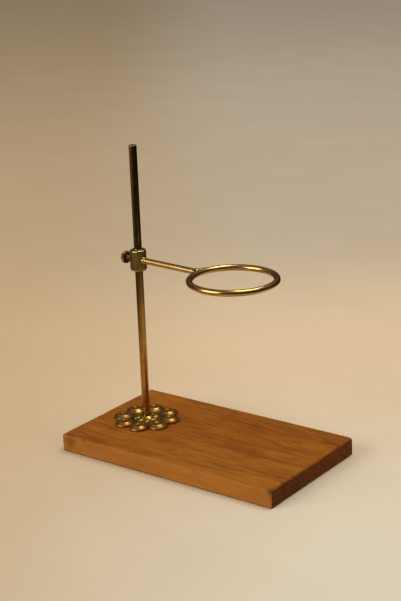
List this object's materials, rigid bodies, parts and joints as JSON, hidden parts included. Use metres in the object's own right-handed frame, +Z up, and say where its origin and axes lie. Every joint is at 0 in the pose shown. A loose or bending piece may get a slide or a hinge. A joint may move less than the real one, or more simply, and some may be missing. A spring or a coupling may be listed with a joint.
{
  "type": "adjustable ring stand",
  "caption": "Small bench stand: a brass rod in a flower-shaped foot on a wooden base, with a thumbscrew clamp whose arm carries a level ring for glassware.",
  "frame": {"origin": "centre of the wooden base's underside", "axes": "+Z up along the rod; +X along the base, from the rod's end towards the ring; +Y to the back, across the base's width"},
  "size_m": [0.257, 0.146, 0.309],
  "materials": {
    "wood_back": "oiled, worn",
    "wood_front": "oiled, worn",
    "rod_brass": "polished, tarnished",
    "cast_brass": "cast and polished, dark in the hollows",
    "boss_brass": "turned, dull",
    "ring_brass": "polished",
    "braze": "braze metal",
    "screw_brass": "knurled",
    "steel": "zinc plated"
  },
  "bodies": {
    "stand": {"back_stave": "wood_back", "front_stave": "wood_front", "rod": "rod_brass", "foot_rosette": "cast_brass", "base_washer": "steel", "lock_washer": "steel", "base_nut": "steel"},
    "sleeve": {"rod_sleeve": "ring_brass"},
    "clamp": {"boss": "boss_brass", "arm": "ring_brass", "arm_braze": "braze", "ring": "ring_brass", "ring_braze": "braze"},
    "pad": {"pressure_pad": "boss_brass"},
    "thumbscrew": {"thumbscrew_stud": "screw_brass", "thumbscrew_head": "screw_brass"}
  },
  "joints": [
    {"name": "boss_height", "type": "slide", "parent": "stand", "child": "sleeve", "axis": [0, 0, 1], "range_m": [-0.156, 0.106]},
    {"name": "boss_swivel", "type": "hinge", "parent": "sleeve", "child": "clamp", "pos_m": [-0.0783, 0.003, 0.1918], "axis": [0, 0, 1], "continuous": true},
    {"name": "screw_travel", "type": "slide", "parent": "clamp", "child": "pad", "axis": [-0.9968, 0.0802, 0], "range_m": [0, 0.0012]},
    {"name": "screw_turn", "type": "hinge", "parent": "pad", "child": "thumbscrew", "pos_m": [-0.09524, 0.00436, 0.1918], "axis": [-0.9968, 0.0802, 0], "range_deg": [0, 540]}
  ],
  "couplings": [
    {"joint": "screw_travel", "follows": "screw_turn", "m_per_rad": 0.00012633}
  ]
}
